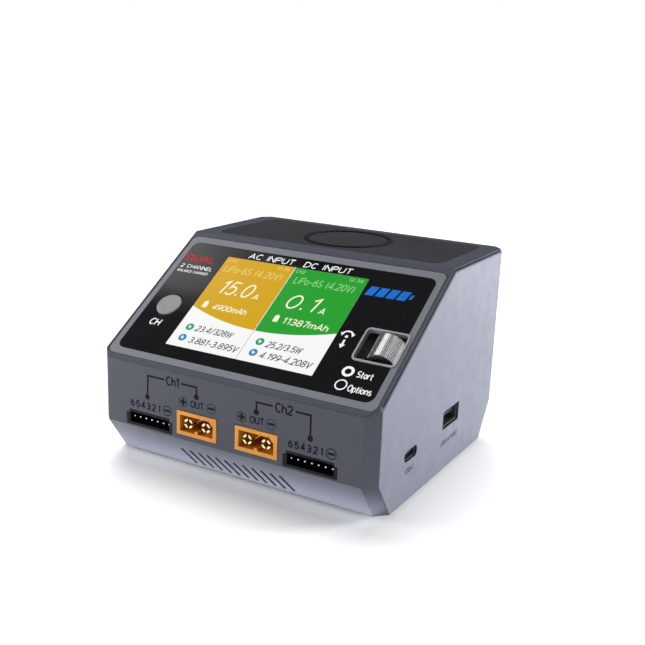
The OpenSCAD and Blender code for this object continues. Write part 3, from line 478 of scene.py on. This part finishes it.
# the USB shells are darker than bare metal: painted shade inside the ports
shaded_port_look = Look("shaded_port_metal", (0.1, 0.1, 0.108), 0.45, Metallic=0.6)
shaded_port_look.vary(300, 0.12).roughen(700, 0.08).grain(1800, 0.00002)
alu_look = Look("aluminium", (0.62, 0.63, 0.66), 0.32, Metallic=1.0).vary(90, 0.1)
alu_look.roughen(240, 0.08, stretch=(1, 14, 1)).grain(900, 0.00004, stretch=(6, 1, 6))
gold_look = Look("contact_gold", (0.92, 0.76, 0.46), 0.2, Metallic=1.0)
gold_look.vary(500, 0.12).roughen(900, 0.08).grain(1500, 0.00002)
copper_look = Look("copper", (0.62, 0.24, 0.1), 0.3, Metallic=1.0)
copper_look.vary(400, 0.15).roughen(600, 0.1).grain(2500, 0.00004)
amber_look = Look("amber_plastic", (0.68, 0.26, 0.022), 0.3)
amber_look.vary(180, 0.1).roughen(400, 0.06).grain(1800, 0.00003)
# the paler line along the amber mouldings' edges is a painted highlight
amber_look.painted_edge_highlight((0.95, 0.55, 0.16), 0.5, FINE_HIGHLIGHT)
socket_look = Look("socket_plastic", (0.006, 0.006, 0.007), 0.5, Specular_IOR_Level=0.2)
socket_look.vary(150, 0.2).roughen(350, 0.07).grain(2200, 0.00002)
black_look = Look("black_plastic", (0.012, 0.012, 0.014), 0.42)
black_look.vary(150, 0.2).roughen(350, 0.07).grain(2200, 0.00004)
# the paler line along the black mouldings' edges is a painted highlight
black_look.painted_edge_highlight((0.06, 0.06, 0.065), 0.5, FINE_HIGHLIGHT)
button_look = Look("button_plastic", (0.25, 0.252, 0.258), 0.34)
button_look.vary(200, 0.05).roughen(500, 0.05).grain(3200, 0.00002)
board_look = Look("circuit_board", (0.012, 0.09, 0.04), 0.32, Coat_Weight=0.3)
board_look.vary(200, 0.2).roughen(300, 0.08).grain(900, 0.00005)
ferrite_look = Look("ferrite", (0.05, 0.05, 0.054), 0.7)
ferrite_look.vary(300, 0.2).roughen(400, 0.08).grain(1200, 0.0001)
can_look = Look("capacitor_can", (0.03, 0.035, 0.07), 0.28)
can_look.vary(250, 0.15).roughen(300, 0.07).grain(1600, 0.00003)
tape_look = Look("transformer_tape", (0.62, 0.42, 0.05), 0.35)
tape_look.vary(220, 0.12).roughen(300, 0.1).grain(700, 0.00005, stretch=(1, 1, 8))

SLOT_LOOKS = {
    "case_plastic": case_look, "cover_plastic": cover_look, "front_glass": glass_look,
    "surround_plastic": surround_look, "pad_plastic": pad_look, "rubber": rubber_look, "screen": panel_look,
    "steel": steel_look, "wheel_metal": wheel_look, "aluminium": alu_look, "contact_gold": gold_look,
    "copper": copper_look, "amber_plastic": amber_look, "black_plastic": black_look,
    "button_plastic": button_look, "circuit_board": board_look, "ferrite": ferrite_look,
    "capacitor_can": can_look, "transformer_tape": tape_look,
}
for part in frame["record"]["subparts"]:
    dress(part["node"], SLOT_LOOKS[part["material_slot"]])
dress("display_bezel", bezel_look)
for name in ("usb_a_shell", "usb_c_shell"):
    dress(name, shaded_port_look)
for name in ("usb_a_tongue", "channel_1_balance_socket", "channel_2_balance_socket"):
    dress(name, socket_look)
dress("rear_panel", rear_look)

# edges rounded to the radius of the real mouldings, in millimetres
ROUNDED = {
    "main_shell": 0.2, "rear_panel": 0.2, "bottom_cover": 0.25, "display_bezel": 0.25, "front_glass": 0.15,
    "wheel_surround": 0.16, "charging_pad": 0.25, "pad_ring": 0.12, "channel_button": 0.12,
    "channel_1_balance_socket": 0.12, "channel_2_balance_socket": 0.12,
    "channel_1_output_socket": 0.15, "channel_2_output_socket": 0.15, "dc_input_socket": 0.15,
    "mains_inlet": 0.2, "usb_a_shell": 0.08, "usb_c_shell": 0.08, "usb_a_tongue": 0.08, "usb_c_tongue": 0.06,
    "output_contacts": 0.08, "dc_input_contacts": 0.08, "balance_pins": 0.1, "mains_inlet_pins": 0.3,
    "rubber_feet": 0.15, "fan_frame": 0.25, "fan_rotor": 0.1, "base_screws": 0.08, "rear_screws": 0.08,
    "fan_screws": 0.08,
}
for name, width in ROUNDED.items():
    soften(name, width)

# ---------------------------------------------------------------- printing and screen


def shine(look, colour, strength):
    look.b.inputs["Emission Color"].default_value = (*colour, 1)
    look.b.inputs["Emission Strength"].default_value = strength


def ink(name, colour, roughness=0.45, glow=0.0):
    look = Look(name, colour, roughness, Specular_IOR_Level=0.15)
    look.vary(500, 0.06).roughen(700, 0.06).grain(3000, 0.00001)
    if glow:
        shine(look, colour, glow)
    return look.m


def srgb(*values):
    """The linear colour of 8-bit display values."""
    return tuple(((c / 255 + 0.055) / 1.055) ** 2.4 if c > 10 else c / 255 / 12.92 for c in values)


def lit(name, colour):
    """A lit part of the screen: most of its light is its own."""
    look = Look(name, tuple(c * 0.05 for c in colour), 0.15, Specular_IOR_Level=0.3)
    look.vary(60, 0.04)
    shine(look, colour, 0.95)
    return look.m


LIT = {name: lit("screen_" + name, srgb(*values)) for name, values in (
    ("gold", (212, 165, 25)), ("green", (42, 160, 50)), ("white", (246, 247, 246)),
    ("pale", (250, 246, 214)), ("faint_gold", (236, 208, 112)), ("faint_green", (150, 214, 140)),
    ("dark", (70, 72, 76)), ("grey", (150, 152, 155)), ("mint", (40, 160, 110)), ("blue", (50, 135, 190)),
)}
DARK_INK = ink("dark_ink", srgb(12, 13, 20), 0.6)
# the white, red and blue inks also glow a little: painted light on the print
WHITE_INK = ink("white_ink", srgb(235, 236, 238), glow=0.12)
RED_INK = ink("red_ink", srgb(185, 35, 40), glow=0.1)
BLUE_INK = ink("blue_ink", srgb(20, 105, 195), glow=0.12)
GREY_INK = ink("grey_ink", srgb(45, 46, 54), 0.6)

# the screen on the slope, in millimetres: its middle and length up the slope, and where its halves meet
lcd_lo, lcd_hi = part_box("lcd_panel")
SCREEN_S, SCREEN_L, SPLIT, HALF_GAP = 32.8, 44.2, -2.9, 0.2
# a margin keeps the picture inside the panel's edge
MARGIN = 0.05
X0, X1 = lcd_lo.x / MM + MARGIN, lcd_hi.x / MM - MARGIN
Y0, Y1 = SCREEN_S - SCREEN_L / 2 + MARGIN, SCREEN_S + SCREEN_L / 2 - MARGIN
# heights of the coloured fields, of the figures on them and of the signs on those
FIELD_LOW, FIELD_HIGH, FIGURE_HIGH, SIGN_HIGH = -0.1, -0.07, -0.045, -0.03
# the fields end in a shallow arc
ARC_LOW, ARC_BEND, ARC_X, ARC_STEPS = 23.8, 0.0064, -2.6, 24


def arc_height(x):
    return ARC_LOW + ARC_BEND * (x - ARC_X) ** 2


def span(x0, x1):
    """Points along the arc from x0 to x1."""
    steps = [x0 + (x1 - x0) * i / ARC_STEPS for i in range(ARC_STEPS + 1)]
    return [(x, arc_height(x)) for x in steps]


bm = bmesh.new()
FIELDS = (
    [(X0, Y0), (X1, Y0), (X1, arc_height(X1 + MARGIN))] + span(X1, X0)[1:],
    [(X0, Y1)] + span(X0, SPLIT - HALF_GAP) + [(SPLIT - HALF_GAP, Y1)],
    [(SPLIT + HALF_GAP, Y1)] + span(SPLIT + HALF_GAP, X1) + [(X1, Y1)],
)
for index, outline in enumerate(FIELDS):
    prism(bm, outline, FIELD_LOW, FIELD_HIGH, index=index)
finish_mesh("screen_fields", bm, [LIT["white"], LIT["gold"], LIT["green"]], SLOPE)

bm = bmesh.new()
SCREEN_INKS = ["pale", "dark", "mint", "blue", "white", "grey", "faint_gold", "faint_green"]
# words, box on the slope, stroke weight, slant, ink
FIGURES = [
    ("LiPo-6S (4.20V)", (-30.2, 47.4, -5.3, 50.7), 0.1, 0.12, "faint_gold"),
    ("LiPo-6S (4.20V)", (-0.4, 47.4, 23.6, 50.7), 0.1, 0.12, "faint_green"),
    ("15.0", (-27.2, 36.8, -11.8, 43.6), 0.095, 0.24, "pale"),
    ("A", (-11.9, 36.8, -8.9, 39.5), 0.13, 0.2, "pale"),
    ("0.1", (1.6, 35.8, 15.3, 42.5), 0.095, 0.24, "pale"),
    ("A", (15.4, 35.8, 18.2, 38.6), 0.13, 0.2, "pale"),
    ("4900mAh", (-24.2, 29.2, -9.6, 31.9), 0.13, 0.14, "pale"),
    ("11387mAh", (4.7, 28.9, 22.8, 31.8), 0.13, 0.14, "pale"),
    ("12:36", (19.0, 52.6, 25.0, 54.1), 0.13, 0.1, "faint_green"),
    ("12:36", (-9.9, 52.6, -4.4, 54.1), 0.13, 0.1, "faint_gold"),
    ("CH1", (-30.6, 52.4, -27.0, 54.0), 0.13, 0.1, "faint_gold"),
    ("CH2", (-1.9, 52.4, 2.0, 54.0), 0.13, 0.1, "faint_green"),
    ("23.4/328W", (-24.6, 18.5, -9.0, 21.2), 0.13, 0.2, "dark"),
    ("3.881-3.895V", (-24.3, 13.1, -3.8, 15.9), 0.13, 0.2, "dark"),
    ("25.2/3.5W", (4.5, 17.9, 18.5, 20.7), 0.13, 0.2, "dark"),
    ("4.199-4.208V", (4.6, 13.1, 24.6, 15.9), 0.13, 0.2, "dark"),
]
for words, box, weight, shear, name in FIGURES:
    lettering(bm, words, box, FIELD_HIGH, FIGURE_HIGH, shear, weight, SCREEN_INKS.index(name))
# a small battery before each charge
for x, s in ((-27.5, 30.9), (2.2, 30.6)):
    prism(bm, round_rect(x - 0.95, s - 1.5, x + 0.95, s + 1.25, 0.3), FIELD_HIGH, FIGURE_HIGH)
    cap = [(x - 0.4, s + 1.25), (x + 0.4, s + 1.25), (x + 0.4, s + 1.7), (x - 0.4, s + 1.7)]
    prism(bm, cap, FIELD_HIGH, FIGURE_HIGH)
# round signs with a bolt before the power and the cell voltages
BOLT = ((-0.2, 1.0), (-0.75, -0.15), (-0.1, -0.15), (-0.25, -1.0), (0.75, 0.25), (0.1, 0.25))
for x, s, name in ((-27.2, 19.8, "mint"), (-27.2, 14.8, "blue"), (1.8, 19.7, "mint"), (1.9, 14.8, "blue")):
    prism(bm, circle(x, s, 1.55, 32), FIELD_HIGH, FIGURE_HIGH, index=SCREEN_INKS.index(name))
    bolt = [(x + dx, s + ds) for dx, ds in BOLT]
    prism(bm, bolt, FIGURE_HIGH, SIGN_HIGH, index=SCREEN_INKS.index("white"))
# the thin line between the two channels' white fields
LINE_HALF, LINE_TOP = 0.09, 23.6
LINE_X0, LINE_X1 = SPLIT - LINE_HALF, SPLIT + LINE_HALF
line = [(LINE_X0, Y0), (LINE_X1, Y0), (LINE_X1, LINE_TOP), (LINE_X0, LINE_TOP)]
prism(bm, line, FIELD_HIGH, FIGURE_HIGH, index=SCREEN_INKS.index("grey"))
finish_mesh("screen_figures", bm, [LIT[name] for name in SCREEN_INKS], SLOPE)

# lowest and highest point of all printing on a surface
INK_LOW, INK_HIGH = -0.005, 0.03


def printed(bm, outline, holes=(), index=0, rise=0.0):
    prism(bm, outline, INK_LOW, INK_HIGH + rise, holes=holes, index=index)


def print_words(bm, words, box, weight=0.15, shear=0.0, index=0):
    lettering(bm, words, box, INK_LOW, INK_HIGH, shear, weight, index)


# printing on the black front glass
bm = bmesh.new()
GLASS_INKS = [WHITE_INK, RED_INK, BLUE_INK]
RED, BLUE = 1, 2
ITALIC = 0.12
print_words(bm, "AC INPUT  DC INPUT", (-23.8, 55.5, 19.0, 58.3), 0.14, ITALIC)
print_words(bm, "DUAL", (-48.9, 49.9, -35.4, 53.1), 0.19, ITALIC, RED)
print_words(bm, "2 CHANNEL", (-48.6, 46.2, -34.4, 48.0), 0.13)
print_words(bm, "BALANCE CHARGER", (-48.6, 43.9, -35.0, 45.2), 0.12)
print_words(bm, "CH", (-44.2, 17.4, -39.3, 20.5), 0.14, ITALIC)
print_words(bm, "Start", (40.4, 13.7, 46.1, 16.4), 0.13)
print_words(bm, "Options", (39.9, 7.9, 48.2, 10.6), 0.13)
printed(bm, circle(37.1, 15.3, 2.1), [circle(37.1, 15.3, 1.15)])
printed(bm, circle(37.2, 9.8, 2.1), [circle(37.2, 9.8, 1.65)])
# turn and press sign left of the wheel: an arc with two arrow heads, a dot and an arrow down
TURN_X, TURN_S, TURN_R, TURN_FROM, TURN_BY, TURN_WIDTH = 30.1, 28.9, 2.1, 25, 130.0, 0.6
printed(bm, ribbon(circle(TURN_X, TURN_S, TURN_R, 12, TURN_FROM, TURN_BY), TURN_WIDTH))
for a in (TURN_FROM, TURN_FROM + TURN_BY):
    px, py = on_ellipse(TURN_X, TURN_S, TURN_R, TURN_R, a)
    printed(bm, [(px - 0.75, py + 0.35), (px, py - 1.0), (px + 0.75, py + 0.35)], rise=STROKE_STEP)
printed(bm, circle(TURN_X, 28.7, 0.55, 20))
ARROW = ((-0.35, 27.3), (-0.35, 25.3), (-1.1, 25.3), (0.0, 23.6), (1.1, 25.3), (0.35, 25.3), (0.35, 27.3))
printed(bm, [(TURN_X + dx, s) for dx, s in ARROW])
# row of slanted charge bars with a battery's cap
BAR_X, BAR_STEP, BAR_W, BAR_LEAN, BAR_LOW, BAR_TOP = 27.6, 3.9, 3.1, 1.1, 47.7, 51.9
for i in range(4):
    x = BAR_X + i * BAR_STEP
    bar = [(x, BAR_LOW), (x + BAR_W, BAR_LOW), (x + BAR_W + BAR_LEAN, BAR_TOP), (x + BAR_LEAN, BAR_TOP)]
    printed(bm, bar, index=BLUE)
printed(bm, [(43.5, 48.8), (44.5, 48.8), (45.0, 50.8), (44.0, 50.8)], index=BLUE)
finish_mesh("glass_printing", bm, GLASS_INKS, SLOPE)

# printing on the front face: a bracket from each channel's name down to its two sockets
bm = bmesh.new()
LINE_WIDTH, NAME_Z = 0.65, 33.8
for line in (
    [(-32.5, 26.4), (-32.2, NAME_Z), (-25.3, NAME_Z)], [(-18.2, NAME_Z), (-11.9, NAME_Z), (-11.9, 30.5)],
    [(11.7, 30.5), (11.7, NAME_Z), (17.8, NAME_Z)], [(26.2, NAME_Z), (31.7, NAME_Z), (31.7, 26.4)],
):
    printed(bm, ribbon(line, LINE_WIDTH))
for x, z in ((-32.5, 26.2), (-11.9, 30.4), (11.7, 30.4), (31.7, 26.2)):
    printed(bm, circle(x, z, 1.0, 24), rise=STROKE_STEP)
print_words(bm, "Ch1", (-24.5, 32.0, -18.9, 35.4), 0.16)
print_words(bm, "Ch2", (18.7, 32.0, 25.3, 35.4), 0.16)
# contact numbers over the balance sockets
DIGIT_W, ONE_W, DIGIT_LOW, DIGIT_TOP = 1.75, 1.0, 21.5, 24.1
for x0, x1 in ((-39.9, -26.6), (23.8, 36.8)):
    for i, digit in enumerate("654321"):
        middle = x0 + (x1 - x0 - 1.7) * i / 5 + DIGIT_W / 2
        half = (ONE_W if digit == "1" else DIGIT_W) / 2
        print_words(bm, digit, (middle - half, DIGIT_LOW, middle + half, DIGIT_TOP), 0.19)
# plus and minus signs, in thin rings
SIGN_R, SIGN_HALF, STROKE_HALF, SIGN_ROUND = 1.8, 1.2, 0.4, 0.2
for x in (-24.1, 39.3):
    printed(bm, circle(x, 22.9, 1.85), [circle(x, 22.9, 1.55)])
    printed(bm, round_rect(x - SIGN_HALF, 22.5, x + SIGN_HALF, 23.3, SIGN_ROUND))
for x_plus, x_out, x_minus in ((-17.3, -14.4, -5.9), (6.1, 9.2, 17.4)):
    upright = round_rect(x_plus - STROKE_HALF, 26.4, x_plus + STROKE_HALF, 28.8, SIGN_ROUND)
    printed(bm, upright, rise=STROKE_STEP)
    print_words(bm, "OUT", (x_out, 26.3, x_out + 5.6, 28.9), 0.16)
    for x in (x_plus, x_minus):
        printed(bm, round_rect(x - SIGN_HALF, 27.2, x + SIGN_HALF, 28.0, SIGN_ROUND))
        printed(bm, circle(x, 27.6, SIGN_R), [circle(x, 27.6, 1.6)])
finish_mesh("front_printing", bm, [DARK_INK], FRONT)

# printing on the right side and at the back
bm = bmesh.new()
print_words(bm, "USB-A PORT", (0.6, 10.5, 15.4, 12.5), 0.17)
print_words(bm, "USB-C", (-28.4, 11.0, -21.6, 13.0), 0.17)
finish_mesh("side_printing", bm, [GREY_INK], SIDE)
bm = bmesh.new()
print_words(bm, "AC IN", (26.3, 58.6, 33.7, 61.0))
print_words(bm, "DC IN", (26.3, 32.8, 33.7, 35.2))
finish_mesh("rear_printing", bm, [DARK_INK], REAR)

# ---------------------------------------------------------------- floor, light and camera


def staged_mesh(name, verts, faces, look):
    me = bpy.data.meshes.new(name)
    me.from_pydata(verts, [], faces)
    me.materials.append(look.m)
    ob = bpy.data.objects.new(name, me)
    bpy.context.scene.collection.objects.link(ob)
    return ob


FLOOR_HALF, FLOOR_GLOW = 6, 0.14
WHITE_LIGHT = (1, 1, 1, 1)
floor_look = Look("studio_floor", (0.86, 0.86, 0.865), 0.7, Specular_IOR_Level=0.0,
                  Emission_Color=WHITE_LIGHT, Emission_Strength=FLOOR_GLOW)
floor_look.vary(3, 0.01)
corners = [(x * FLOOR_HALF, y * FLOOR_HALF, 0) for x, y in ((-1, -1), (1, -1), (1, 1), (-1, 1))]
staged_mesh("studio_floor", corners, [(0, 1, 2, 3)], floor_look)

# a white surrounding: its brightness as light, in reflections, and as the camera sees it
AMBIENT, IN_REFLECTIONS, BACKDROP = 0.15, 0.1, 1.0
world = bpy.data.worlds.new("studio")
bpy.context.scene.world = world
world.use_nodes = True
wn, wl = world.node_tree.nodes, world.node_tree.links


def surrounding(node, strength):
    node.inputs["Color"].default_value = WHITE_LIGHT
    node.inputs["Strength"].default_value = strength
    return node.outputs[0]


shown = surrounding(wn["Background"], AMBIENT)
path = wn.new("ShaderNodeLightPath")
for ray, strength in (("Is Glossy Ray", IN_REFLECTIONS), ("Is Camera Ray", BACKDROP)):
    background = surrounding(wn.new("ShaderNodeBackground"), strength)
    mix = wn.new("ShaderNodeMixShader")
    wl.new(path.outputs[ray], mix.inputs["Fac"])
    wl.new(shown, mix.inputs[1])
    wl.new(background, mix.inputs[2])
    shown = mix.outputs[0]
wl.new(shown, wn["World Output"].inputs["Surface"])


def lamp(name, kind, at, to, energy, size, size_y=None):
    """A light left out of reflections: the angle of a sun in degrees, or the sides of a panel."""
    li = bpy.data.lights.new(name, kind)
    li.energy = energy
    if kind == "SUN":
        li.angle = math.radians(size)
    else:
        li.shape = "RECTANGLE"
        li.size = size
        li.size_y = size_y or size
    ob = bpy.data.objects.new(name, li)
    ob.location = at
    ob.rotation_mode = "QUATERNION"
    ob.rotation_quaternion = (Vector(to) - Vector(at)).to_track_quat("-Z", "Y")
    ob.visible_glossy = False
    bpy.context.scene.collection.objects.link(ob)
    return ob


lamp("key", "SUN", Vector((-0.35, 0.35, 0.87)), (0, 0, 0), 3.3, 48)
# a panel beside the case, for its right side
PANEL_WAY, PANEL_FAR = Vector((0.7, 0.71, 0.03)), 0.7
side_target = Vector((shell_hi.x, 0, 0.04))
lamp("right_panel", "AREA", side_target + PANEL_FAR * PANEL_WAY, side_target, 24.5, 0.22, 0.14)
# a strip lying under the front edge and facing up: it stands for the light the floor sends to the toe
strip = Vector((0, shell_lo.y + 0.003, 0.0008))
low = lamp("low_strip", "AREA", strip, strip + Vector((0, 0, 1)), 0.023, 0.116, 0.011)
low.visible_camera = False
lamp("left_fill", "AREA", (-0.24, -0.2, 0.1), (shell_lo.x, shell_lo.y, 0.03), 0.55, 0.12)

CARD_HEIGHT = 0.5


def card(name, x0, x1, y0, y1, look):
    """A bright card facing down over the scene, seen only in reflections."""
    verts = [(x, y, CARD_HEIGHT) for x, y in ((x0, y0), (x1, y0), (x1, y1), (x0, y1))]
    ob = staged_mesh(name, verts, [(0, 3, 2, 1)], look)
    ob.visible_diffuse = False
    ob.visible_shadow = False


# the sheen on the left of the black glass fades out to the right
SHEEN_START, SHEEN_SCALE, SHEEN_PEAK, SHEEN_FULL = -1.05, -5.0, 1.5, 0.6
glow = Look("reflected_card", (0.0, 0.0, 0.0), 1.0)
fade = glow.add("ShaderNodeTexGradient", gradient_type="QUADRATIC")
spread = glow.add("ShaderNodeMapping")
spread.inputs["Location"].default_value = (SHEEN_START, 0, 0)
spread.inputs["Scale"].default_value = (SHEEN_SCALE, 1, 1)
glow.l.new(glow.co, spread.inputs["Vector"])
glow.l.new(spread.outputs["Vector"], fade.inputs["Vector"])
sheen = glow.ramp(fade.outputs["Fac"], 0.0, SHEEN_PEAK, 0.0, SHEEN_FULL)
glow.l.new(sheen, glow.b.inputs["Emission Strength"])
glow.b.inputs["Emission Color"].default_value = WHITE_LIGHT
card("reflected_card", -0.55, -0.22, 0.02, 0.2, glow)
bright = Look("wheel_card", (0, 0, 0), 1.0, Emission_Color=WHITE_LIGHT, Emission_Strength=1.9)
card("wheel_card", 0.2, 0.75, -0.12, 0.16, bright)

# the camera as found from the photo: place in metres, turn, tilt and roll in degrees
CAMERA_AT, CAMERA_LENS = (0.167758, -0.288611, 0.139415), 53.29
CAMERA_TURN, CAMERA_DOWN, CAMERA_ROLL = 29.341, 15.541, 2.176
cam = bpy.data.cameras.new("photo_view")
cam.lens = CAMERA_LENS
cam.sensor_width = 36.0
cam.clip_start = 0.01
cam.clip_end = 50
camera = bpy.data.objects.new("photo_view", cam)
camera.location = CAMERA_AT
turn = Matrix.Rotation(math.radians(CAMERA_TURN), 4, "Z")
tilt = Matrix.Rotation(math.radians(90 - CAMERA_DOWN), 4, "X")
roll = Matrix.Rotation(math.radians(CAMERA_ROLL), 4, "Z")
camera.rotation_mode = "QUATERNION"
camera.rotation_quaternion = (turn @ tilt @ roll).to_quaternion()
bpy.context.scene.collection.objects.link(camera)
bpy.context.scene.camera = camera
bpy.context.scene.view_settings.view_transform = "Standard"
